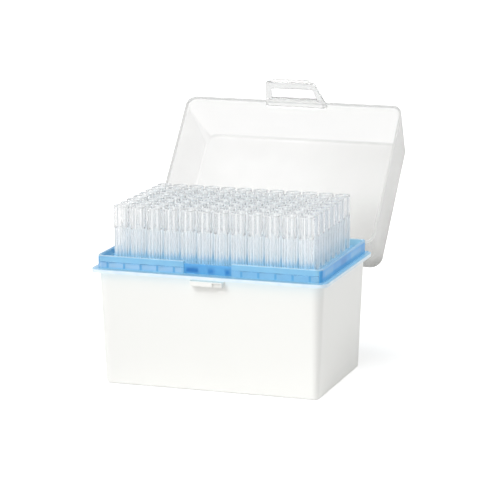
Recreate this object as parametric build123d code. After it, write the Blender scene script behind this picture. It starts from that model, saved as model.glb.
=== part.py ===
from build123d import *
import math
import os

# A rack box for 96 long pipette tips: a white base box, a see-through deck that holds the tips
# on a 9 mm grid, the tips, and a deep lid on a rear hinge, which stands swung open.
# Frame: +Z up, +X along the twelve columns, the latch at -Y, the hinge at +Y.
# Origin: the centre of the base's footprint, on the surface that it stands on.

# ------------------------------------------------------------------ driving sizes, in mm
# Tip grid
PITCH = 9.0
COLUMNS = 12
ROWS = 8

# Pipette tip
TIP_LENGTH = 84.7
TIP_ABOVE_PLATE = 27.9
COLLAR_LENGTH = 11.3
COLLAR_DIAMETER = 7.8
COLLAR_WALL = 0.55
SHOULDER_THICKNESS = 0.9
BODY_STEP = 0.65
BODY_WALL = 0.55
TAPER_BELOW_PLATE = 12.5
TIP_END_DIAMETER = 1.7
TIP_END_WALL = 0.4
TIP_RIBS = 12
RIB_THICKNESS = 0.5
RIB_HEIGHT = 0.55

# Base box
END_MARGIN = 10.5
SIDE_MARGIN = 8.4
BASE_CORNER = 5.6
BASE_DRAFT = 2.5
BASE_WALL = 1.6
BASE_FLOOR = 1.8
FOOT_ROUND = 1.2
TIP_FLOOR_GAP = 6.2

# Tip deck
FLANGE_SIDE = 2.9
FLANGE_FRONT = 3.5
FLANGE_THICKNESS = 1.9
FLANGE_CORNER = 5.0
RIM_SIDE_STEP = 3.0
RIM_FRONT_STEP = 2.9
RIM_HEIGHT = 6.7
RIM_WALL = 1.2
RIM_CORNER = 3.0
PLATE_THICKNESS = 1.2
PLATE_DROP = 3.1
SKIRT_DEPTH = 4.6
SKIRT_WALL = 1.1
SKIRT_CLEARANCE = 0.35
HOLE_CLEARANCE = 0.2

# Pocket in the front of the deck's rim, with ribs behind it
POCKET_LENGTH = 25.6
POCKET_DEPTH = 1.6
POCKET_DROP = 1.4
BACKING_RIBS = ((-8.6, 8.0), (1.4, 3.2), (10.4, 2.2))
BACKING_GAP = 0.4

# Lid
LID_SIDE_CLEARANCE = 0.35
LID_FRONT_CLEARANCE = 0.9
LID_WALL = 1.0
LID_TIP_GAP = 2.4
LID_DRAFT = 5.9
LID_CORNER_EXTRA = 1.4
LID_TOP_CORNER = 6.5
LID_TOP_ROUND = 2.2
LID_SEAT_GAP = 0.1
LID_OPEN_ANGLE = 131.2

# Hinge
HINGE_GAP = 0.4
HINGE_RISE = 0.9
HINGE_SPACING = 72.0
KNUCKLE_LENGTH = 14.0
KNUCKLE_RADIUS = 1.9
ARM_THICKNESS = 2.4
ARM_LIFT = 0.2
STUB_RADIUS = 1.1
STUB_LENGTH = 1.8
STUB_CLEARANCE = 0.06
EAR_THICKNESS = 2.2
EAR_WALL = 0.74
EAR_SIDE_GAP = 0.25
EAR_SHELF_GAP = 0.35
EAR_DROP = 11.0
STOP_LENGTH = 3.0
STOP_GAP = 0.04

# Latch loop on the lid, and the catch on the base
LOOP_TAPER = 3.8
LOOP_THICKNESS = 1.4
LOOP_LEG = 3.2
LOOP_GAP = 0.6
LOOP_BAR = 5.2
LOOP_ROOT = 6.0
LOOP_ROUND = 3.2
WINDOW_ROUND = 1.6
WINDOW_SIDE_PLAY = 2.9
WINDOW_BOTTOM_PLAY = 3.4
LIP_REACH = 1.4
LIP_THICKNESS = 1.2
CATCH_LENGTH = 17.4
CATCH_HEIGHT = 2.6
CATCH_BELOW_TOP = 0.8
CATCH_GAP = 0.3
CATCH_POCKET_START = 3.4
CATCH_POCKET_END = 8.0
CATCH_POCKET_DEPTH = 1.3
CATCH_SKIN = 0.5

# ------------------------------------------------------------------ places and fits worked out
TIP_END_Z = BASE_FLOOR + TIP_FLOOR_GAP
TIP_TOP = TIP_END_Z + TIP_LENGTH
PLATE_TOP = TIP_TOP - TIP_ABOVE_PLATE
RIM_TOP = PLATE_TOP + PLATE_DROP
FLANGE_TOP = RIM_TOP - RIM_HEIGHT
BASE_HEIGHT = FLANGE_TOP - FLANGE_THICKNESS
BASE_LENGTH = (COLUMNS - 1) * PITCH + 2 * END_MARGIN
BASE_WIDTH = (ROWS - 1) * PITCH + 2 * SIDE_MARGIN
FLANGE_LENGTH = BASE_LENGTH + 2 * FLANGE_SIDE
FLANGE_WIDTH = BASE_WIDTH + 2 * FLANGE_FRONT
RIM_LENGTH = FLANGE_LENGTH - 2 * RIM_SIDE_STEP
RIM_WIDTH = FLANGE_WIDTH - 2 * RIM_FRONT_STEP
COLLAR_BOTTOM = TIP_TOP - COLLAR_LENGTH
SOCKET_BOTTOM = COLLAR_BOTTOM + SHOULDER_THICKNESS
TAPER_TOP = PLATE_TOP - TAPER_BELOW_PLATE
COLLAR_RADIUS = COLLAR_DIAMETER / 2
BODY_RADIUS = COLLAR_RADIUS - BODY_STEP
HOLE_RADIUS = BODY_RADIUS + HOLE_CLEARANCE
LID_LEAN = RIM_HEIGHT * math.tan(math.radians(LID_DRAFT))
LID_LENGTH = RIM_LENGTH + 2 * (LID_SIDE_CLEARANCE + LID_LEAN + LID_WALL)
LID_WIDTH = RIM_WIDTH + 2 * (LID_FRONT_CLEARANCE + LID_LEAN + LID_WALL)
LID_CORNER = RIM_CORNER + LID_WALL + LID_CORNER_EXTRA
LID_SEAT = FLANGE_TOP + LID_SEAT_GAP
LID_HEIGHT = TIP_TOP + LID_TIP_GAP + LID_WALL - LID_SEAT
PIN_HOLE_RADIUS = STUB_RADIUS + STUB_CLEARANCE
EAR_RADIUS = PIN_HOLE_RADIUS + EAR_WALL
HINGE_Y = FLANGE_WIDTH / 2 + HINGE_GAP + max(KNUCKLE_RADIUS, EAR_RADIUS)
HINGE_Z = LID_SEAT + HINGE_RISE
HINGE_AXIS = Axis((0, HINGE_Y, HINGE_Z), (1, 0, 0))
LOOP_INNER = FLANGE_WIDTH / 2 + LOOP_GAP
CATCH_FRONT = LOOP_INNER - CATCH_GAP
CATCH_TOP = BASE_HEIGHT - CATCH_BELOW_TOP
CATCH_BOTTOM = CATCH_TOP - CATCH_HEIGHT
WINDOW_BOTTOM = CATCH_BOTTOM - WINDOW_BOTTOM_PLAY
LOOP_BOTTOM = WINDOW_BOTTOM - LOOP_BAR
LOOP_TOP = LID_SEAT + LOOP_ROOT


def drafted_block(length, width, corner, bottom, top, draft):
    """A rounded block that narrows from its wide end; a draft below 0 has the wide end on top."""
    outline = RectangleRounded(length, width, corner)
    if draft < 0:
        return extrude(Pos(0, 0, top) * outline, top - bottom, dir=(0, 0, -1), taper=-draft)
    return extrude(Pos(0, 0, bottom) * outline, top - bottom, dir=(0, 0, 1), taper=draft)


def straight_block(length, width, corner, bottom, top):
    """A rounded block with upright sides."""
    return extrude(Pos(0, 0, bottom) * RectangleRounded(length, width, corner), top - bottom)


def box_between(low, high):
    """A plain box from its low corner to its high corner."""
    size = [b - a for a, b in zip(low, high)]
    middle = [(a + b) / 2 for a, b in zip(low, high)]
    return Pos(*middle) * Box(*size)


def plate_along_x(points, start, thickness):
    """A flat plate whose outline is given in Y and Z, from X = start."""
    outline = Plane.YZ.offset(start) * make_face(Polyline(*points, close=True))
    return extrude(outline, thickness, dir=(1, 0, 0))


def rod_along_x(radius, start, length):
    """A round rod on the hinge axis, from X = start."""
    return Pos(start + length / 2, HINGE_Y, HINGE_Z) * Rot(0, 90, 0) * Cylinder(radius, length)


# ------------------------------------------------------------------ base box
def base_shell():
    """The drafted box with its open top and rounded foot."""
    outer = drafted_block(BASE_LENGTH, BASE_WIDTH, BASE_CORNER, 0, BASE_HEIGHT, -BASE_DRAFT)
    foot = outer.faces().sort_by(Axis.Z)[0]
    outer = fillet(foot.edges(), FOOT_ROUND)
    wall = BASE_WALL / math.cos(math.radians(BASE_DRAFT))
    inner = drafted_block(
        BASE_LENGTH - 2 * wall,
        BASE_WIDTH - 2 * wall,
        BASE_CORNER - BASE_WALL,
        BASE_FLOOR,
        BASE_HEIGHT,
        -BASE_DRAFT,
    )
    return outer - inner


def wall_y(height):
    """How far the base's rear wall stands from the middle at a height."""
    return BASE_WIDTH / 2 - (BASE_HEIGHT - height) * math.tan(math.radians(BASE_DRAFT))


def front_catch():
    """The ledge under the deck's flange that the lid's loop drops over, with its side pocket."""
    root = wall_y(CATCH_BOTTOM) - BASE_WALL / 2
    half = CATCH_LENGTH / 2
    ledge = box_between((-half, -CATCH_FRONT, CATCH_BOTTOM), (half, -root, CATCH_TOP))
    front_edges = ledge.faces().sort_by(Axis.Y)[0].edges().sort_by(Axis.Z)[:-1]
    ledge = fillet(front_edges, CATCH_SKIN)
    pocket = box_between(
        (CATCH_POCKET_START, -CATCH_FRONT, CATCH_BOTTOM),
        (CATCH_POCKET_END, -CATCH_FRONT + CATCH_POCKET_DEPTH, CATCH_TOP - CATCH_SKIN),
    )
    return ledge - pocket


def opened(point):
    """Where a point of the shut lid, given in Y and Z, goes when the lid swings open."""
    turn = math.radians(-LID_OPEN_ANGLE)
    y, z = point[0] - HINGE_Y, point[1] - HINGE_Z
    return (
        HINGE_Y + y * math.cos(turn) - z * math.sin(turn),
        HINGE_Z + y * math.sin(turn) + z * math.cos(turn),
    )


def stop_point(height):
    """A point of the ear's stop, on the open lid's rear wall at a height above its rim."""
    lean = math.radians(LID_DRAFT)
    y = LID_WIDTH / 2 - height * math.tan(lean) + STOP_GAP * math.cos(lean)
    return opened((y, LID_SEAT + height + STOP_GAP * math.sin(lean)))


def hinge_ear(start):
    """One ear from X = start: a round boss for the pin, a sloped stop and a foot on the wall."""
    front = HINGE_Y - EAR_RADIUS
    shelf = BASE_HEIGHT - EAR_SHELF_GAP
    foot = BASE_HEIGHT - EAR_DROP
    near, far = stop_point(HINGE_RISE), stop_point(HINGE_RISE + STOP_LENGTH)
    outline = [
        (front, HINGE_Z),
        (HINGE_Y, HINGE_Z + EAR_RADIUS),
        near,
        far,
        (far[0], far[1] - STOP_LENGTH),
        (wall_y(foot) - BASE_WALL / 2, foot),
        (wall_y(shelf) - BASE_WALL / 2, shelf),
        (front, shelf),
    ]
    ear = plate_along_x(outline, start, EAR_THICKNESS)
    ear += rod_along_x(EAR_RADIUS, start, EAR_THICKNESS)
    return ear - rod_along_x(PIN_HOLE_RADIUS, start, EAR_THICKNESS)


def base_box():
    """The whole base moulding."""
    base = base_shell() + front_catch()
    inside = KNUCKLE_LENGTH / 2 + EAR_SIDE_GAP
    for side in (-1, 1):
        middle = side * HINGE_SPACING / 2
        base += hinge_ear(middle - inside - EAR_THICKNESS)
        base += hinge_ear(middle + inside)
    return base


# ------------------------------------------------------------------ tip deck
def deck_tray():
    """Flange, upright rim and skirt, as three rings on one drawing of rounded rectangles."""
    wall = BASE_WALL / math.cos(math.radians(BASE_DRAFT))
    skirt_length = BASE_LENGTH - 2 * (wall + SKIRT_CLEARANCE)
    skirt_width = BASE_WIDTH - 2 * (wall + SKIRT_CLEARANCE)
    skirt_corner = BASE_CORNER - BASE_WALL
    opening = drafted_block(
        skirt_length - 2 * SKIRT_WALL,
        skirt_width - 2 * SKIRT_WALL,
        skirt_corner - SKIRT_WALL,
        BASE_HEIGHT - SKIRT_DEPTH,
        FLANGE_TOP,
        -BASE_DRAFT,
    )
    skirt = drafted_block(
        skirt_length, skirt_width, skirt_corner, BASE_HEIGHT - SKIRT_DEPTH, BASE_HEIGHT, -BASE_DRAFT
    )
    flange = straight_block(
        FLANGE_LENGTH, FLANGE_WIDTH, FLANGE_CORNER, BASE_HEIGHT, FLANGE_TOP
    )
    flange = fillet(flange.faces().sort_by(Axis.Z)[-1].edges(), RIM_WALL / 3)
    rim = straight_block(RIM_LENGTH, RIM_WIDTH, RIM_CORNER, FLANGE_TOP, RIM_TOP)
    inside = straight_block(
        RIM_LENGTH - 2 * RIM_WALL,
        RIM_WIDTH - 2 * RIM_WALL,
        RIM_CORNER - RIM_WALL,
        FLANGE_TOP,
        RIM_TOP,
    )
    return (flange + skirt - opening) + (rim - inside)


def hole_plate():
    """The plate with one hole for each tip."""
    outline = RectangleRounded(
        RIM_LENGTH - RIM_WALL, RIM_WIDTH - RIM_WALL, RIM_CORNER - RIM_WALL / 2
    )
    holes = GridLocations(PITCH, PITCH, COLUMNS, ROWS) * Circle(HOLE_RADIUS)
    plate = outline - holes
    return extrude(Pos(0, 0, PLATE_TOP - PLATE_THICKNESS) * plate, PLATE_THICKNESS)


def pocket_cut():
    """The space that the pocket takes out of the rim's front."""
    return box_between(
        (-POCKET_LENGTH / 2, -RIM_WIDTH / 2, FLANGE_TOP),
        (POCKET_LENGTH / 2, -RIM_WIDTH / 2 + POCKET_DEPTH, RIM_TOP),
    )


def pocket_walls():
    """The set-back wall of the pocket, its ends, and the ribs behind it."""
    back = -RIM_WIDTH / 2 + POCKET_DEPTH
    top = RIM_TOP - POCKET_DROP
    half = POCKET_LENGTH / 2 + RIM_WALL
    wall = box_between((-half, back, FLANGE_TOP), (half, back + RIM_WALL, top))
    for side in (-1, 1):
        near, far = sorted((side * POCKET_LENGTH / 2, side * half))
        wall += box_between((near, -RIM_WIDTH / 2, FLANGE_TOP), (far, back + RIM_WALL, RIM_TOP))
    rib_end = -(ROWS - 1) * PITCH / 2 - BODY_RADIUS - BACKING_GAP
    for middle, width in BACKING_RIBS:
        wall += box_between(
            (middle - width / 2, back, FLANGE_TOP), (middle + width / 2, rib_end, PLATE_TOP)
        )
    return wall


def tip_deck():
    """The whole deck moulding."""
    return deck_tray() + hole_plate() + pocket_walls() - pocket_cut()


# ------------------------------------------------------------------ tips
def tip_outline():
    """Half of a tip's section, from the mouth down the outside and back up the bore."""
    socket, bore = COLLAR_RADIUS - COLLAR_WALL, BODY_RADIUS - BODY_WALL
    end, orifice = TIP_END_DIAMETER / 2, TIP_END_DIAMETER / 2 - TIP_END_WALL
    return Polyline(
        (socket, TIP_TOP),
        (COLLAR_RADIUS, TIP_TOP),
        (COLLAR_RADIUS, COLLAR_BOTTOM),
        (BODY_RADIUS, COLLAR_BOTTOM),
        (BODY_RADIUS, TAPER_TOP),
        (end, TIP_END_Z),
        (orifice, TIP_END_Z),
        (bore, TAPER_TOP),
        (bore, SOCKET_BOTTOM),
        (socket, SOCKET_BOTTOM),
        close=True,
    )


def pipette_tip():
    """One tip, on the Z axis, with the ribs that it stands on in the deck."""
    tip = revolve(Plane.XZ * make_face(tip_outline()), Axis.Z)
    inner = BODY_RADIUS - BODY_WALL / 2
    rib = box_between(
        (inner, -RIB_THICKNESS / 2, PLATE_TOP),
        (BODY_RADIUS + RIB_HEIGHT, RIB_THICKNESS / 2, COLLAR_BOTTOM),
    )
    for turn in range(TIP_RIBS):
        tip += Rot(0, 0, turn * 360 / TIP_RIBS) * rib
    return tip


def tip_column(tip, column):
    """Eight tips in a row from front to back."""
    x = (column - (COLUMNS - 1) / 2) * PITCH
    places = [Pos(x, (row - (ROWS - 1) / 2) * PITCH, 0) for row in range(ROWS)]
    return Compound(children=[place * tip for place in places])


# ------------------------------------------------------------------ lid, drawn shut
def lid_block(inset, top):
    """A drafted block for the lid, with wider corners at the top than at the rim."""
    draft = math.radians(LID_DRAFT)
    shift = inset / math.cos(draft)
    lean = shift + (top - LID_SEAT) * math.tan(draft)
    rim = RectangleRounded(LID_LENGTH - 2 * shift, LID_WIDTH - 2 * shift, LID_CORNER - inset)
    crown = RectangleRounded(LID_LENGTH - 2 * lean, LID_WIDTH - 2 * lean, LID_TOP_CORNER - inset)
    block = loft([Pos(0, 0, LID_SEAT) * rim, Pos(0, 0, top) * crown], ruled=True)
    return fillet(block.faces().sort_by(Axis.Z)[-1].edges(), LID_TOP_ROUND - inset)


def lid_outside():
    """The deep drafted cover, still solid."""
    return lid_block(0, LID_SEAT + LID_HEIGHT)


def lid_inside():
    """The space inside the cover, an even wall smaller than the outside."""
    return lid_block(LID_WALL, LID_SEAT + LID_HEIGHT - LID_WALL)


def trapezium(top_half, top, bottom_half, bottom, radius):
    """An upright outline with rounded lower corners."""
    corners = [(-top_half, top), (top_half, top), (bottom_half, bottom), (-bottom_half, bottom)]
    outline = make_face(Polyline(*corners, close=True))
    return fillet(outline.vertices().group_by(Axis.Y)[0], radius)


def latch_loop():
    """The loop on the lid's front, along its drafted wall, that drops over the catch."""
    lean = LOOP_TAPER / (LOOP_TOP - LOOP_BOTTOM)
    window_half = CATCH_LENGTH / 2 + WINDOW_SIDE_PLAY
    window_top_half = window_half + lean * (LID_SEAT - WINDOW_BOTTOM)
    top_half = window_top_half + lean * LOOP_ROOT + LOOP_LEG
    bottom_half = top_half - LOOP_TAPER
    strap = trapezium(top_half, LOOP_TOP, bottom_half, LOOP_BOTTOM, LOOP_ROUND)
    strap -= trapezium(window_top_half, LID_SEAT, window_half, WINDOW_BOTTOM, WINDOW_ROUND)
    loop = extrude(Plane.XZ.offset(LOOP_INNER) * strap, LOOP_THICKNESS)
    lip_half = bottom_half - LOOP_ROUND
    front = LOOP_INNER + LOOP_THICKNESS
    loop += box_between(
        (-lip_half, -front - LIP_REACH, LOOP_BOTTOM),
        (lip_half, -front, LOOP_BOTTOM + LIP_THICKNESS),
    )
    loop = loop.rotate(Axis((0, -LOOP_INNER, LID_SEAT), (1, 0, 0)), -LID_DRAFT)
    root_half = top_half - LOOP_LEG / 2
    root_front = -LOOP_INNER - LOOP_THICKNESS / 2
    loop += box_between(
        (-root_half, root_front, LID_SEAT), (root_half, LID_WALL * 2 - LID_WIDTH / 2, LOOP_TOP)
    )
    return loop


def knuckle(middle):
    """A hinge barrel with its arm and the two pin stubs that turn in the ears."""
    start = middle - KNUCKLE_LENGTH / 2
    barrel = rod_along_x(KNUCKLE_RADIUS, start, KNUCKLE_LENGTH)
    arm_bottom = LID_SEAT + ARM_LIFT
    arm = box_between(
        (start, LID_WIDTH / 2 - LID_WALL, arm_bottom),
        (start + KNUCKLE_LENGTH, HINGE_Y, arm_bottom + ARM_THICKNESS),
    )
    reach = EAR_SIDE_GAP + STUB_LENGTH
    stubs = rod_along_x(STUB_RADIUS, start - reach, KNUCKLE_LENGTH + 2 * reach)
    return barrel + arm + stubs


def lid():
    """The whole lid moulding, swung open."""
    shut = lid_outside() + latch_loop()
    for side in (-1, 1):
        shut += knuckle(side * HINGE_SPACING / 2)
    return (shut - lid_inside()).rotate(HINGE_AXIS, -LID_OPEN_ANGLE)


def main():
    os.makedirs("parts", exist_ok=True)
    export_step(base_box(), "parts/base_box.step")
    export_step(tip_deck(), "parts/tip_deck.step")
    export_step(lid(), "parts/lid.step")
    tip = pipette_tip()
    for column in range(COLUMNS):
        export_step(tip_column(tip, column), f"parts/tip_column_{column + 1:02d}.step")


main()
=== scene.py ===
"""Finishes and studio of a rack box of pipette tips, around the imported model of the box.

The white base, the see-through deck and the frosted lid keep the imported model's shapes and get
their plastics here. The tips are made here as smooth turned shapes with raised ribs. Lengths are
in metres and angles in radians, unless a name says otherwise.
"""

import functools
import logging
import math
from dataclasses import dataclass, field
from enum import Enum

import bmesh
import bpy
from mathutils import Matrix, Vector


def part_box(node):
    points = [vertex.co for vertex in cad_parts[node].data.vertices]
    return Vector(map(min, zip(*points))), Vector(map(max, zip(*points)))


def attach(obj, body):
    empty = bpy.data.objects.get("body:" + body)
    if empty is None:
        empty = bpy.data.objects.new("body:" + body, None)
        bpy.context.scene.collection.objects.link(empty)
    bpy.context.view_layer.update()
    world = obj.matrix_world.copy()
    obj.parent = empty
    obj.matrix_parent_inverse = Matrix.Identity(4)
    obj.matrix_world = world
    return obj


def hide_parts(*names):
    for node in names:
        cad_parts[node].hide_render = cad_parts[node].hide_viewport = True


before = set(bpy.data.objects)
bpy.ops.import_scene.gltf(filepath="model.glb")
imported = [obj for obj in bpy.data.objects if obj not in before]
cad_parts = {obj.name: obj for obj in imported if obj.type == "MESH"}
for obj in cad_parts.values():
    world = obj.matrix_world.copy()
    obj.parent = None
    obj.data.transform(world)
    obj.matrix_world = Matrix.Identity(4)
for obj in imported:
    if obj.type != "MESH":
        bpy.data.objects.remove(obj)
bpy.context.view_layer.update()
LOG = logging.getLogger("tip_box")

MM = 0.001
FAR = 200.0  # in millimetres, past every end of the box
FULL_TURN = 2 * math.pi
POLYPROPYLENE_IOR = 1.49
MIX_SOCKETS = {"FLOAT": (2, 3, 0), "RGBA": (6, 7, 2)}  # a Mix node's two inputs and its output

Socket = bpy.types.NodeSocket
Colour = tuple[float, float, float]
Point = tuple[float, float, float]
Span = tuple[float, float]
Value = Socket | float | Colour | Point

WHITE: Colour = (1.0, 1.0, 1.0)
BLACK: Colour = (0.0, 0.0, 0.0)


class Body(Enum):
    """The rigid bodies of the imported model."""

    BASE = "base"
    LID = "lid"


class Slot(Enum):
    """The record's material slots."""

    BASE = "base"
    DECK = "deck"
    TIPS = "tips"
    LID = "lid"


class Ray(Enum):
    """The kinds of ray that a material or the world can tell apart."""

    CAMERA = "Is Camera Ray"
    GLOSSY = "Is Glossy Ray"
    TRANSMISSION = "Is Transmission Ray"
    SHADOW = "Is Shadow Ray"
    DIFFUSE = "Is Diffuse Ray"


# ---------------------------------------------------------------- helpers
def mm(low: float, high: float) -> Span:
    """Returns a span whose ends are given in millimetres."""
    return low * MM, high * MM


def direction(azimuth: float, elevation: float) -> Vector:
    """Returns the way from the box to a place around it.

    Args:
        azimuth: Angle from the front towards the right.
        elevation: Angle above the floor.

    Returns:
        A vector of length 1.
    """
    flat = math.cos(elevation)
    return Vector((math.sin(azimuth) * flat, -math.cos(azimuth) * flat, math.sin(elevation)))


def add_object(name: str, data: bpy.types.ID) -> bpy.types.Object:
    """Makes an object and puts it in the scene.

    Args:
        name: The object's name.
        data: Its mesh, lamp or camera.

    Returns:
        The new object.
    """
    made = bpy.data.objects.new(name, data)
    bpy.context.scene.collection.objects.link(made)
    return made


class Graph:
    """The node tree of a material or a world, with short calls that add and join nodes."""

    def __init__(self, owner: bpy.types.Material | bpy.types.World) -> None:
        """Starts an empty tree.

        Args:
            owner: The material or world that the tree belongs to.
        """
        self.owner = owner
        owner.use_nodes = True
        self.tree = owner.node_tree
        self.tree.nodes.clear()
        self.output = self.node("OutputWorld" if isinstance(owner, bpy.types.World) else "OutputMaterial")

    def node(self, kind: str, *in_order: Value, **by_name: Value) -> bpy.types.Node:
        """Adds a node and sets or joins its inputs.

        Args:
            kind: The node's type, without the ShaderNode prefix.
            *in_order: What goes into its first inputs.
            **by_name: What goes into other inputs, by name, with underscores for blanks.

        Returns:
            The new node.
        """
        made = self.tree.nodes.new("ShaderNode" + kind)
        for socket, value in zip(made.inputs, in_order):
            self.plug(socket, value)
        for name, value in by_name.items():
            self.plug(made.inputs[name.replace("_", " ")], value)
        return made

    def plug(self, socket: Socket, value: Value) -> None:
        """Joins an input to another node's output, or sets its value.

        Args:
            socket: The input.
            value: The output, number, place or colour that goes into it.
        """
        if isinstance(value, Socket):
            self.tree.links.new(value, socket)
        elif socket.type == "RGBA":
            socket.default_value = (*value, 1.0)
        else:
            socket.default_value = value

    def place(self) -> Socket:
        """Returns the place on the piece, in object coordinates."""
        return self.node("TexCoord").outputs["Object"]

    def noise(self, place: Socket, scale: float, detail: float) -> Socket:
        """Returns a noise value between about 0 and 1."""
        return self.node("TexNoise", Vector=place, Scale=scale, Detail=detail).outputs["Fac"]

    def ramp(self, value: Socket, low: float, high: float) -> Socket:
        """Returns a value of 0 to 1 spread over low to high."""
        return self.node("MapRange", Value=value, To_Min=low, To_Max=high).outputs["Result"]

    def step(self, value: Socket, at: float, soft: float) -> Socket:
        """Makes a soft step.

        Args:
            value: What is compared.
            at: Where the step is.
            soft: How wide the change is.

        Returns:
            0 below the step and 1 above it.
        """
        made = self.node("MapRange", Value=value, From_Min=at - soft / 2, From_Max=at + soft / 2)
        made.interpolation_type = "SMOOTHSTEP"
        return made.outputs["Result"]

    def maths(self, operation: str, *values: Value) -> Socket:
        """Makes a Math node.

        Args:
            operation: The node's operation.
            *values: A number or a socket for each of its inputs.

        Returns:
            The result.
        """
        made = self.node("Math", *values)
        made.operation = operation
        return made.outputs[0]

    def mixed(self, share: Socket, first: Value, second: float | Colour) -> Socket:
        """Mixes two colours or two numbers.

        Args:
            share: How much of the second, 0 to 1.
            first: The first colour or number.
            second: The second, of the same kind.

        Returns:
            The mix.
        """
        made = self.node("Mix")
        made.data_type = "FLOAT" if isinstance(second, float) else "RGBA"
        into_first, into_second, out = MIX_SOCKETS[made.data_type]
        self.plug(made.inputs["Factor"], share)
        self.plug(made.inputs[into_first], first)
        self.plug(made.inputs[into_second], second)
        return made.outputs[out]

    def bump(self, height: Socket, distance: float, strength: float) -> Socket:
        """Returns a normal with a bump of the given height in metres."""
        return self.node("Bump", Height=height, Strength=strength, Distance=distance).outputs["Normal"]

    def finish(self, shader: bpy.types.Node) -> bpy.types.Material | bpy.types.World:
        """Joins the last shader to the output and returns the tree's owner."""
        self.plug(self.output.inputs["Surface"], shader.outputs[0])
        return self.owner


def seen_rays(g: Graph) -> Socket:
    """Tells the rays that show the backdrop: straight, mirrored or through clear plastic.

    Args:
        g: The node tree of the world or the floor.

    Returns:
        1 for those rays and 0 for the others.
    """
    path = g.node("LightPath").outputs
    seen = path[Ray.CAMERA.value]
    for ray in (Ray.GLOSSY, Ray.TRANSMISSION):
        seen = g.maths("MAXIMUM", seen, path[ray.value])
    return seen


# ---------------------------------------------------------------- finishes
@dataclass(frozen=True)
class OpaquePlastic:
    """White polypropylene with a fine matte grain and very slight clouds.

    Attributes:
        name: The material's name.
        light, shade: The two colours that the clouds run between.
        roughness: How rough its surface is.
        roughness_spread: From its smoothest to its roughest grain.
        grain_per_metre, grain_detail: The grain's fineness, and its octaves of finer grain.
        grain_depth, grain_strength: The grain's height, and how strongly it shows.
        cloud_per_metre, cloud_detail: The same for the clouds as for the grain.
        ior: Its index of refraction.
    """

    name: str = "base_polypropylene"
    light: Colour = (0.905, 0.905, 0.88)
    shade: Colour = (0.885, 0.885, 0.855)
    roughness: float = 0.42
    roughness_spread: float = 0.08
    grain_per_metre: float = 2600.0
    grain_detail: float = 3.0
    grain_depth: float = 0.02 * MM
    grain_strength: float = 0.35
    cloud_per_metre: float = 14.0
    cloud_detail: float = 2.0
    ior: float = POLYPROPYLENE_IOR

    def build(self) -> bpy.types.Material:
        """Makes the material.

        Returns:
            The new material.
        """
        g = Graph(bpy.data.materials.new(self.name))
        grain = g.noise(g.place(), self.grain_per_metre, self.grain_detail)
        cloud = g.noise(g.place(), self.cloud_per_metre, self.cloud_detail)
        half = self.roughness_spread / 2
        shader = g.node(
            "BsdfPrincipled",
            Base_Color=g.mixed(cloud, self.light, self.shade),
            Roughness=g.ramp(grain, self.roughness - half, self.roughness + half),
            IOR=self.ior,
            Normal=g.bump(grain, self.grain_depth, self.grain_strength),
        )
        return g.finish(shader)


@dataclass(frozen=True)
class Zone:
    """A part of a moulding with a milkiness of its own.

    Some zones stand for ribs and walls that are there, and the others are colour only, some of them painted
    light and shade.

    Attributes:
        milk: Colour of the milkiness there.
        haze: How milky it is there, 0 to 1.
        x, y, z: Where it is. An axis that isn't given has no limit.
        soft: How wide the change at its edges is.
        mirrored: Whether it is on the left as well as on the right.
        pitch: The distance at which it comes back along X, or 0.
    """

    milk: Colour
    haze: float
    x: Span | None = None
    y: Span | None = None
    z: Span | None = None
    soft: float = 0.3 * MM
    mirrored: bool = False
    pitch: float = 0.0

    def mask(self, g: Graph, place: Socket) -> Socket:
        """Tells the places inside the zone from those outside it.

        Args:
            g: The material's node tree.
            place: The place on the piece.

        Returns:
            1 inside and 0 outside.
        """
        axes = g.node("SeparateXYZ", Vector=place).outputs
        x = axes["X"]
        if self.mirrored:
            x = g.maths("ABSOLUTE", x)
        if self.pitch:
            x = g.maths("PINGPONG", x, self.pitch / 2)
        sides = []
        for value, span in ((x, self.x), (axes["Y"], self.y), (axes["Z"], self.z)):
            if span is not None:
                sides.append(g.step(value, span[0], self.soft))
                sides.append(g.maths("SUBTRACT", 1.0, g.step(value, span[1], self.soft)))
        return functools.reduce(lambda first, second: g.maths("MULTIPLY", first, second), sides)


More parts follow.
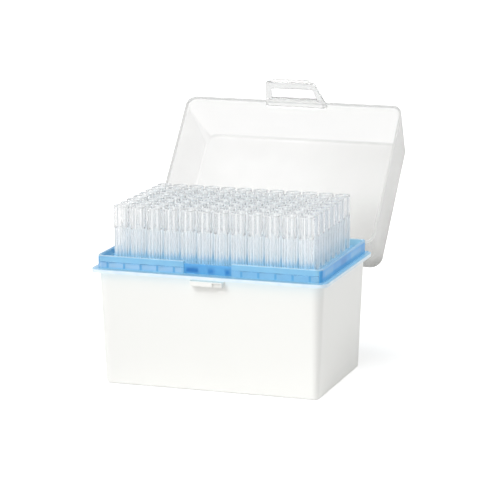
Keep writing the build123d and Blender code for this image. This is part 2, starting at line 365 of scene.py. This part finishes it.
@dataclass(frozen=True)
class ClearPlastic:
    """Clear or milky moulded polypropylene that bends light and lets the lamps through.

    Attributes:
        name: The material's name.
        tint: Colour of the clear plastic.
        milk: Colour of its milkiness.
        haze: How milky it is, 0 to 1.
        haze_spread: How far the haze varies, as a share of it.
        roughness: How rough its surface is.
        roughness_spread: How far the roughness varies, as a share of it.
        lamp_pass: Share of the lamps' light that a wall lets through.
        grain: Grains to a metre along each axis.
        grain_detail: Octaves of finer grain.
        mottle: How much of the mottle's colour the grain brings in.
        mottle_colour: That colour.
        ior: Its index of refraction.
        gloss: How strongly it mirrors, with 0.5 as usual.
        zones: The parts that differ.
        dye: Colour that the plastic lets through over a long way.
        dye_per_metre: How strong the dye is, or 0.
        pivot: A point on the hinge's axis, for a piece that is drawn turned.
        turn: The angle back to the place where the zones are given, or 0.
    """

    name: str
    tint: Colour
    milk: Colour
    haze: float
    roughness: float
    lamp_pass: Colour
    grain: Point
    grain_detail: float = 3.0
    haze_spread: float = 0.15
    roughness_spread: float = 0.25
    mottle: float = 0.03
    mottle_colour: Colour = BLACK
    ior: float = POLYPROPYLENE_IOR
    gloss: float = 0.5
    zones: tuple[Zone, ...] = ()
    dye: Colour = BLACK
    dye_per_metre: float = 0.0
    pivot: Point = (0.0, 0.0, 0.0)
    turn: float = 0.0

    def build(self) -> bpy.types.Material:
        """Makes the material.

        Returns:
            The new material.
        """
        g = Graph(bpy.data.materials.new(self.name))
        stretched = g.node("Mapping", Vector=g.place(), Scale=self.grain).outputs["Vector"]
        flow = g.noise(stretched, 1.0, self.grain_detail)
        rough = self.varied(g, flow, self.roughness, self.roughness_spread)
        haze = self.varied(g, flow, self.haze, self.haze_spread)
        milk = self.milk
        place = self.shut(g)
        for zone in self.zones:
            mask = zone.mask(g, place)
            haze = g.mixed(mask, haze, zone.haze)
            milk = g.mixed(mask, milk, zone.milk)
        haze = self.thickened(g, haze)
        milk = g.mixed(g.maths("MULTIPLY", flow, self.mottle), milk, self.mottle_colour)
        surface = {"Roughness": rough, "IOR": self.ior, "Specular_IOR_Level": self.gloss}
        glass = g.node("BsdfPrincipled", Base_Color=self.tint, Transmission_Weight=1.0, **surface)
        cloudy = g.node("BsdfPrincipled", Base_Color=milk, **surface)
        body = g.node("MixShader", haze, glass.outputs[0], cloudy.outputs[0])
        clear = g.node("BsdfTransparent", Color=self.lamp_pass)
        path = g.node("LightPath").outputs
        lamp_ray = g.maths("MAXIMUM", path[Ray.SHADOW.value], path[Ray.DIFFUSE.value])
        if self.dye_per_metre:
            inside = g.node("VolumeAbsorption", Color=self.dye, Density=self.dye_per_metre)
            g.plug(g.output.inputs["Volume"], inside.outputs[0])
        return g.finish(g.node("MixShader", lamp_ray, body.outputs[0], clear.outputs[0]))

    def varied(self, g: Graph, flow: Socket, middle: float, spread: float) -> Socket:
        """Returns a number that follows the grain, by a share of it to each side."""
        return g.ramp(flow, middle * (1 - spread), middle * (1 + spread))

    def thickened(self, g: Graph, haze: Socket) -> Socket:
        """Returns the haze with what a kind of moulding adds to it; a plain one adds nothing."""
        return haze

    def shut(self, g: Graph) -> Socket:
        """Turns the place on the piece about the pivot, to where the zones are given.

        Args:
            g: The material's node tree.

        Returns:
            The turned place.
        """
        if not self.turn:
            return g.place()
        made = g.node("VectorRotate", Vector=g.place(), Center=self.pivot, Angle=self.turn)
        made.rotation_type = "X_AXIS"
        return made.outputs["Vector"]


@dataclass(frozen=True)
class TipPlastic(ClearPlastic):
    """Clear plastic of the tips, milkier in the ribs, with flutes in the collar that are colour only.

    Attributes:
        pitch: From one tip to the next.
        body_radius: Of the body that carries the ribs.
        rib_reach: How far outside the body the ribs' milkiness begins.
        rib_soft: How wide its change is.
        rib_haze: How milky the ribs are.
        collar_bottom: Height of the collar's lower edge.
        collar_soft: How wide the change there is.
        flutes: Flutes around a collar.
        flute_width: How narrow they are, as a cosine.
        flute_soft: How wide their change is, in the same measure.
        flute_haze: How milky they are.
    """

    pitch: float = 9.0 * MM
    body_radius: float = 3.25 * MM
    rib_reach: float = 0.15 * MM
    rib_soft: float = 0.1 * MM
    rib_haze: float = 0.65
    collar_bottom: float = 81.4 * MM
    collar_soft: float = 0.2 * MM
    flutes: float = 6.0
    flute_width: float = 0.86
    flute_soft: float = 0.1
    flute_haze: float = 0.6

    def thickened(self, g: Graph, haze: Socket) -> Socket:
        """Adds the ribs and flutes to the haze.

        Args:
            g: The material's node tree.
            haze: The haze of the plain wall.

        Returns:
            The haze with the ribs and flutes in it.
        """
        axes = g.node("SeparateXYZ", Vector=g.place()).outputs
        across = [self.from_axis(g, axes[name]) for name in "XY"]
        squares = [g.maths("MULTIPLY", part, part) for part in across]
        radius = g.maths("SQRT", g.maths("ADD", *squares))
        rib = g.step(radius, self.body_radius + self.rib_reach, self.rib_soft)
        turn = g.maths("MULTIPLY", g.maths("ARCTAN2", across[1], across[0]), self.flutes)
        wave = g.maths("COSINE", g.maths("ADD", turn, math.pi))
        flute = g.step(wave, self.flute_width, self.flute_soft)
        collar = g.step(axes["Z"], self.collar_bottom, self.collar_soft)
        below = g.maths("SUBTRACT", 1.0, collar)
        haze = g.mixed(g.maths("MULTIPLY", rib, below), haze, self.rib_haze)
        return g.mixed(g.maths("MULTIPLY", flute, collar), haze, self.flute_haze)

    def from_axis(self, g: Graph, value: Socket) -> Socket:
        """Returns how far a place is from the nearest tip's axis, along X or Y."""
        cell = g.maths("FRACT", g.maths("DIVIDE", value, self.pitch))
        return g.maths("MULTIPLY", g.maths("SUBTRACT", cell, 0.5), self.pitch)


BASE_FINISH = OpaquePlastic()

# The deck's rim: its front wall along Y, its end walls along X, and the height up to the plate.
FRONT_WALL = mm(-40.0, -36.0)
END_WALL = mm(58.6, 61.0)
LOWER_RIM = mm(61.8, 64.6)
DECK_FINISH = ClearPlastic(
    name="deck_polypropylene",
    tint=(0.52, 0.79, 0.93),
    milk=(0.27, 0.61, 0.90),
    haze=0.2,
    roughness=0.10,
    lamp_pass=(0.8, 0.93, 0.99),
    ior=1.36,
    gloss=0.2,
    grain=(160.0, 160.0, 260.0),
    mottle=0.4,
    mottle_colour=(0.05, 0.36, 0.78),
    zones=(
        # The rim, above and below the plate's top, and painted light that makes the left part of its front
        # wall paler.
        Zone((0.48, 0.79, 0.97), 0.38, z=mm(64.7, 67.5)),
        Zone((0.42, 0.71, 0.95), 0.40, z=mm(61.2, 64.5)),
        Zone((0.99, 0.89, 1.00), 0.52, x=mm(-59.0, -14.0), y=FRONT_WALL, z=LOWER_RIM, soft=1.5 * MM),
        # Dark ticks between the columns of holes. They are colour only: the deck has no ribs there.
        Zone((0.18, 0.48, 0.78), 0.42, x=mm(-0.6, 0.6), z=mm(61.6, 64.4), soft=0.5 * MM, pitch=9.0 * MM),
        # The rim's end walls, darkened as painted shade, with paler and darker patches. These are colour only
        # too.
        Zone((0.08, 0.38, 0.80), 0.75, x=END_WALL, z=mm(61.2, 67.2), mirrored=True),
        *(
            Zone(milk, haze, x=END_WALL, y=mm(*y), z=mm(bottom, 66.4), soft=soft * MM, mirrored=True)
            for milk, haze, y, bottom, soft in (
                ((0.21, 0.55, 0.92), 0.60, (-34.0, -20.0), 62.4, 3.0),
                ((0.21, 0.55, 0.92), 0.60, (12.0, 30.0), 62.4, 3.0),
                ((0.03, 0.23, 0.63), 0.75, (-6.0, 4.0), 62.8, 3.5),
            )
        ),
        # The front pocket, and the three ribs behind it, which the deck has.
        Zone((0.18, 0.50, 0.88), 0.45, x=mm(-13.0, 13.0), y=FRONT_WALL, z=mm(61.3, 66.3)),
        *(
            Zone(milk, haze, x=mm(*x), y=FRONT_WALL, z=mm(61.7, top), soft=soft * MM)
            for milk, haze, x, top, soft in (
                ((0.02, 0.13, 0.44), 0.90, (-12.2, -5.0), 64.7, 2.6),
                ((0.04, 0.21, 0.57), 0.80, (-0.2, 3.2), 64.5, 2.4),
                ((0.03, 0.17, 0.50), 0.85, (8.8, 11.6), 64.5, 2.4),
            )
        ),
        # A painted highlight along the rim's top edge, darker at the ends, and the pale flange with the skirt
        # under it.
        Zone((0.78, 0.95, 1.00), 0.55, z=mm(67.5, 69.0)),
        Zone((0.34, 0.66, 0.94), 0.60, x=END_WALL, y=mm(-37.0, 50.0), z=mm(67.0, 69.0), mirrored=True),
        Zone((0.94, 1.00, 1.00), 1.0, z=mm(-FAR, 61.0)),
    ),
)

TIP_FINISH = TipPlastic(
    name="tip_polypropylene",
    tint=WHITE,
    milk=(0.97, 0.975, 0.98),
    haze=0.05,
    roughness=0.02,
    lamp_pass=(0.996, 0.996, 0.996),
    grain=(300.0, 300.0, 8.0),
    zones=(
        # The bodies, milkier and faintly blue, and their feet bluer: the blue is painted light from the deck.
        Zone((0.93, 0.965, 1.0), 0.10, z=mm(-FAR, 81.3)),
        Zone((0.44, 0.71, 0.95), 0.30, z=mm(-FAR, 68.5), soft=3.5 * MM),
        # Shading set by place: the last column behind its front tip is greyer.
        Zone((0.75, 0.79, 0.84), 0.08, x=mm(45.0, FAR), y=mm(-26.0, FAR), soft=4.0 * MM),
        # A ring at each mouth, which is colour only.
        Zone((0.84, 0.85, 0.86), 0.5, z=mm(92.1, 93.0)),
    ),
    dye=(0.0, 0.05, 0.10),
    dye_per_metre=3.5,
)

LID_FINISH = ClearPlastic(
    name="lid_polypropylene",
    tint=(0.995, 0.993, 0.985),
    milk=(0.64, 0.64, 0.63),
    haze=0.17,
    roughness=0.22,
    lamp_pass=(0.95, 0.95, 0.95),
    grain=(60.0, 60.0, 60.0),
    ior=1.3,
    zones=(
        # Shading set by place: the crown is greyer to the right and towards the hinge, most of all
        # in that corner, and the rear wall is paler.
        Zone((0.55, 0.55, 0.53), 0.28, x=mm(20.0, FAR), z=mm(76.0, FAR), soft=70.0 * MM),
        Zone((0.46, 0.46, 0.43), 0.40, y=mm(22.0, FAR), z=mm(82.0, FAR), soft=50.0 * MM),
        Zone((0.36, 0.36, 0.34), 0.42, x=mm(32.0, FAR), y=mm(3.0, FAR), z=mm(88.0, FAR), soft=36.0 * MM),
        Zone((0.85, 0.85, 0.84), 0.36, y=mm(38.0, FAR), z=mm(40.0, 86.0), soft=16.0 * MM),
        # Painted light: the left end wall and the front wall are paler.
        Zone((0.84, 0.84, 0.83), 0.08, x=mm(-100.0, -57.0), soft=2.0 * MM),
        Zone((0.95, 0.95, 0.945), 0.03, y=mm(-45.0, -37.5), z=mm(62.0, 94.0), soft=1.0 * MM),
        # The rim, milkier although it is no thicker than the wall, and the latch's loop.
        Zone((0.86, 0.86, 0.85), 0.6, z=mm(60.0, 62.3), soft=0.5 * MM),
        Zone((0.98, 0.98, 0.975), 0.20, y=mm(-60.0, -43.3), soft=0.3 * MM),
    ),
    pivot=(0.0, 45.7 * MM, 62.2 * MM),
    turn=math.radians(131.2),
)


# ---------------------------------------------------------------- pieces
@dataclass
class TipColumn:
    """One column of tips, front to back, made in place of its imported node.

    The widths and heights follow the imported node's box; the others are set here.

    Attributes:
        node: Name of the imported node.
        rows: Tips in the column.
        segments: Sides of a turned tip.
        ribs: Ribs around a tip.
        collar_length, collar_wall: Of the collar at the top, around the socket.
        shoulder: How far above the collar's lower edge the socket ends.
        body_step: How much smaller the body's radius is than the collar's.
        body_wall: Thickness of the body's wall.
        above_plate: Height of the tips above the deck's plate.
        taper_below_plate: How far below the plate the taper starts.
        rib_height: How far a rib stands out.
        end_radius, end_wall: Of the open end at the bottom.
        edge_round: Size of the bevels at the collar.
        sharp_angle: The angle between faces from which an edge stays sharp.
        low, high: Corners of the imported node's box.
    """

    node: str
    rows: int = 8
    segments: int = 36
    ribs: int = 12
    collar_length: float = 11.3 * MM
    collar_wall: float = 0.55 * MM
    shoulder: float = 0.9 * MM
    body_step: float = 0.65 * MM
    body_wall: float = 0.55 * MM
    above_plate: float = 27.9 * MM
    taper_below_plate: float = 12.5 * MM
    rib_height: float = 0.55 * MM
    end_radius: float = 0.85 * MM
    end_wall: float = 0.4 * MM
    edge_round: float = 0.15 * MM
    sharp_angle: float = math.radians(35)
    low: Vector = field(init=False)
    high: Vector = field(init=False)

    def __post_init__(self) -> None:
        """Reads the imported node's box."""
        self.low, self.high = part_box(self.node)

    @property
    def collar_radius(self) -> float:
        """The collar's outer radius."""
        return (self.high.x - self.low.x) / 2

    @property
    def body_radius(self) -> float:
        """The body's outer radius, without ribs."""
        return self.collar_radius - self.body_step

    @property
    def collar_bottom(self) -> float:
        """Height of the collar's lower edge."""
        return self.high.z - self.collar_length

    @property
    def plate(self) -> float:
        """Height of the deck's plate, on which the ribs stand."""
        return self.high.z - self.above_plate

    def outline(self) -> list[tuple[float, float]]:
        """Draws half of a tip's section: the bore from the end up, then the outside down.

        Returns:
            The points, as radius and height.
        """
        collar, body = self.collar_radius, self.body_radius
        top, end = self.high.z, self.low.z
        taper_top = self.plate - self.taper_below_plate
        socket, bore = collar - self.collar_wall, body - self.body_wall
        bevel = self.edge_round
        return [
            (self.end_radius - self.end_wall, end),
            (bore, taper_top),
            (bore, self.collar_bottom + self.shoulder),
            (socket, self.collar_bottom + self.shoulder),
            (socket, top - bevel),
            (socket + bevel, top),
            (collar - bevel, top),
            (collar, top - bevel),
            (collar, self.collar_bottom + bevel),
            (collar - bevel, self.collar_bottom),
            (body, self.collar_bottom),
            (body, self.plate),
            (body, taper_top),
            (self.end_radius, end),
        ]

    def turned(self) -> bmesh.types.BMesh:
        """Turns the section about the Z axis and raises the ribs.

        Returns:
            One tip, around the origin's axis.
        """
        tip = bmesh.new()
        points = [tip.verts.new((radius, 0.0, height)) for radius, height in self.outline()]
        edges = [tip.edges.new(pair) for pair in zip(points, points[1:] + points[:1])]
        bmesh.ops.spin(
            tip,
            geom=points + edges,
            cent=(0, 0, 0),
            axis=(0, 0, 1),
            angle=FULL_TURN,
            steps=self.segments,
            use_merge=True,
        )
        bmesh.ops.recalc_face_normals(tip, faces=tip.faces)
        self.raise_ribs(tip)
        return tip

    def raise_ribs(self, tip: bmesh.types.BMesh) -> None:
        """Draws the ribs out of the body, one segment wide, from the plate up to the collar.

        Args:
            tip: The turned tip.
        """
        middle = (self.plate + self.collar_bottom) / 2
        near = (self.collar_bottom - self.plate) / 4
        inside_wall = self.body_radius - self.body_wall / 2
        step = self.segments // self.ribs
        chosen = []
        for face in tip.faces:
            centre = face.calc_center_median()
            if abs(centre.z - middle) > near or math.hypot(centre.x, centre.y) < inside_wall:
                continue
            segment = int(math.atan2(centre.y, centre.x) / FULL_TURN * self.segments % self.segments)
            if segment % step == 0:
                chosen.append(face)
        out = bmesh.ops.extrude_discrete_faces(tip, faces=chosen)
        for face in out["faces"]:
            bmesh.ops.translate(tip, vec=face.normal * self.rib_height, verts=face.verts)

    def column(self) -> bpy.types.Mesh:
        """Copies the turned tip to its places from front to back.

        Returns:
            The column's mesh.
        """
        tip = self.turned()
        shape = bpy.data.meshes.new("tip_shape")
        tip.to_mesh(shape)
        tip.free()
        column = bmesh.new()
        x = (self.low.x + self.high.x) / 2
        first, last = self.low.y + self.collar_radius, self.high.y - self.collar_radius
        for row in range(self.rows):
            start = len(column.verts)
            column.from_mesh(shape)
            column.verts.ensure_lookup_table()
            y = first + (last - first) * row / (self.rows - 1)
            bmesh.ops.translate(column, vec=(x, y, 0.0), verts=column.verts[start:])
        bpy.data.meshes.remove(shape)
        mesh = bpy.data.meshes.new(self.node + "_turned")
        column.to_mesh(mesh)
        column.free()
        return mesh

    def build(self, finish: bpy.types.Material) -> bpy.types.Object:
        """Makes the column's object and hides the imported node.

        Args:
            finish: The material of the tips.

        Returns:
            The new object.
        """
        mesh = self.column()
        mesh.polygons.foreach_set("use_smooth", [True] * len(mesh.polygons))
        mesh.set_sharp_from_angle(angle=self.sharp_angle)
        mesh.materials.append(finish)
        piece = add_object(self.node + "_turned", mesh)
        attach(piece, Body.BASE.value)
        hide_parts(self.node)
        return piece


@dataclass
class DressedNode:
    """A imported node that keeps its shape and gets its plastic.

    Attributes:
        node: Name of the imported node.
        finish: Its plastic.
    """

    node: str
    finish: OpaquePlastic | ClearPlastic

    def build(self) -> bpy.types.Object:
        """Gives the node its finish.

        Returns:
            The node's object.
        """
        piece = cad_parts[self.node]
        piece.data.materials.clear()
        piece.data.materials.append(self.finish.build())
        return piece


# ---------------------------------------------------------------- studio
@dataclass(frozen=True)
class Viewpoint:
    """The camera's place, as angles and distance from the point that it looks at.

    Attributes:
        azimuth, elevation: Where the camera is, from the front and from the floor.
        roll: Its turn about the line of sight.
        distance: From the camera to the target.
        target: The point that it looks at.
        lens: Focal length in millimetres.
        clip_end: How far it sees.
    """

    azimuth: float = math.radians(18.58)
    elevation: float = math.radians(11.78)
    roll: float = math.radians(-0.11)
    distance: float = 1.3247
    target: Point = (0.00905, 0.0, 0.06695)
    lens: float = 184.66
    clip_end: float = 10.0

    def build(self) -> bpy.types.Object:
        """Makes the camera and looks through it.

        Returns:
            The camera.
        """
        back = direction(self.azimuth, self.elevation)
        data = bpy.data.cameras.new("camera")
        data.lens = self.lens
        data.clip_end = self.clip_end
        camera = add_object("camera", data)
        turn = back.to_track_quat("Z", "Y").to_matrix().to_4x4()
        place = Matrix.Translation(Vector(self.target) + back * self.distance)
        camera.matrix_world = place @ turn @ Matrix.Rotation(self.roll, 4, "Z")
        bpy.context.scene.camera = camera
        return camera


@dataclass(frozen=True)
class Lamp:
    """A wide soft lamp, far away, that lights the whole studio evenly.

    Attributes:
        name: The lamp's name.
        azimuth, elevation: Where it shines from.
        spread: How wide it looks from the box, as an angle.
        strength: Its light in watts to a square metre.
    """

    name: str
    azimuth: float
    elevation: float
    spread: float
    strength: float

    def build(self) -> bpy.types.Object:
        """Makes the lamp.

        Returns:
            The lamp's object.
        """
        data = bpy.data.lights.new(self.name, "SUN")
        data.angle = self.spread
        data.energy = self.strength
        lamp = add_object(self.name, data)
        back = direction(self.azimuth, self.elevation)
        lamp.matrix_world = back.to_track_quat("Z", "Y").to_matrix().to_4x4()
        return lamp


@dataclass(frozen=True)
class Studio:
    """White backdrop, pale floor and soft lamps.

    Attributes:
        ambient: Strength of the light from all around.
        floor_colour: Colour of the floor's paper.
        floor_lift: What is added to the floor where it is seen straight.
        floor_lift_in_glass: What is added where it is seen mirrored or through clear plastic.
        floor_half: Half of the floor's side.
        panel_turn: Turn of the backdrop's dim gaps about the Z axis.
        gap_sharpness: How narrow the gaps are.
        gap_depth: How dim they are, 0 to 1.
        bounces: Most bounces of a ray.
        clear_bounces: Most passes of a ray through clear walls.
        lamps: The lamps.
    """

    ambient: float = 0.30
    floor_colour: Colour = (0.93, 0.93, 0.93)
    floor_lift: float = 0.42
    floor_lift_in_glass: float = 0.16
    floor_half: float = 30.0
    panel_turn: float = math.radians(-18.58)
    gap_sharpness: float = 2.0
    gap_depth: float = 0.4
    bounces: int = 64
    clear_bounces: int = 128
    lamps: tuple[Lamp, ...] = (
        Lamp("key", math.radians(-24), math.radians(44), math.radians(50), 1.73),
        Lamp("strip", math.radians(-25), math.radians(38), math.radians(6), 0.5),
        Lamp("side", math.radians(135), math.radians(30), math.radians(46), 1.02),
    )

    def world(self) -> None:
        """Makes the world: white where it is seen, softer where it lights."""
        world = bpy.data.worlds.new("studio")
        bpy.context.scene.world = world
        g = Graph(world)
        lighting = g.node("Background", Color=WHITE, Strength=self.ambient)
        shown = g.node("Background", Color=WHITE, Strength=self.panels(g))
        g.finish(g.node("MixShader", seen_rays(g), lighting.outputs[0], shown.outputs[0]))

    def panels(self, g: Graph) -> Socket:
        """Draws the backdrop: white where it is seen straight, with dim gaps for clear plastic.

        Args:
            g: The world's node tree.

        Returns:
            The backdrop's strength.
        """
        turned = g.node("VectorRotate", Vector=g.node("TexCoord").outputs["Generated"], Angle=self.panel_turn)
        turned.rotation_type = "Z_AXIS"
        axes = g.node("SeparateXYZ", Vector=turned.outputs["Vector"]).outputs
        # Across over around is the sine of twice the angle about the Z axis, so there are four gaps.
        across = g.maths("MULTIPLY", g.maths("MULTIPLY", axes["X"], axes["Y"]), 2.0)
        around = g.maths("ADD", g.maths("POWER", axes["X"], 2.0), g.maths("POWER", axes["Y"], 2.0))
        gap = g.maths("POWER", g.maths("ABSOLUTE", g.maths("DIVIDE", across, around)), self.gap_sharpness)
        unseen = g.maths("SUBTRACT", 1.0, g.node("LightPath").outputs[Ray.CAMERA.value])
        dimmed = g.maths("MULTIPLY", g.maths("MULTIPLY", gap, unseen), self.gap_depth)
        return g.maths("SUBTRACT", 1.0, dimmed)

    def paper(self) -> bpy.types.Material:
        """Makes the floor's material, which is lifted towards white where it is seen.

        Returns:
            The new material.
        """
        g = Graph(bpy.data.materials.new("floor_paper"))
        diffuse = g.node("BsdfDiffuse", Color=self.floor_colour)
        straight = g.node("LightPath").outputs[Ray.CAMERA.value]
        through = g.maths("SUBTRACT", seen_rays(g), straight)
        strength = g.maths("MULTIPLY", straight, self.floor_lift)
        strength = g.maths("MULTIPLY_ADD", through, self.floor_lift_in_glass, strength)
        lift = g.node("Emission", Color=WHITE, Strength=strength)
        return g.finish(g.node("AddShader", diffuse.outputs[0], lift.outputs[0]))

    def floor(self) -> bpy.types.Object:
        """Makes the pale floor.

        Returns:
            The floor's object.
        """
        sheet = bmesh.new()
        bmesh.ops.create_grid(sheet, x_segments=1, y_segments=1, size=self.floor_half)
        mesh = bpy.data.meshes.new("floor")
        sheet.to_mesh(mesh)
        sheet.free()
        mesh.materials.append(self.paper())
        floor = add_object("floor", mesh)
        return floor

    def build(self) -> None:
        """Makes the whole studio."""
        self.world()
        self.floor()
        for lamp in self.lamps:
            lamp.build()
        scene = bpy.context.scene
        scene.view_settings.view_transform = "Standard"
        scene.cycles.max_bounces = self.bounces
        scene.cycles.transmission_bounces = self.bounces
        scene.cycles.transparent_max_bounces = self.clear_bounces


def main() -> None:
    """Builds the box's pieces and the studio, and reports each."""
    logging.basicConfig(level=logging.INFO, format="%(message)s")
    for node, finish in (("base_box", BASE_FINISH), ("tip_deck", DECK_FINISH), ("lid", LID_FINISH)):
        piece = DressedNode(node, finish).build()
        LOG.info("%s: %d faces", piece.name, len(piece.data.polygons))
    tip_finish = TIP_FINISH.build()
    for node in sorted(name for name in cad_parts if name.startswith("tip_column")):
        piece = TipColumn(node).build(tip_finish)
        LOG.info("%s: %d faces", piece.name, len(piece.data.polygons))
    Viewpoint().build()
    studio = Studio()
    studio.build()
    LOG.info("studio: floor, world and %d lamps", len(studio.lamps))


if __name__ == "__main__":
    main()
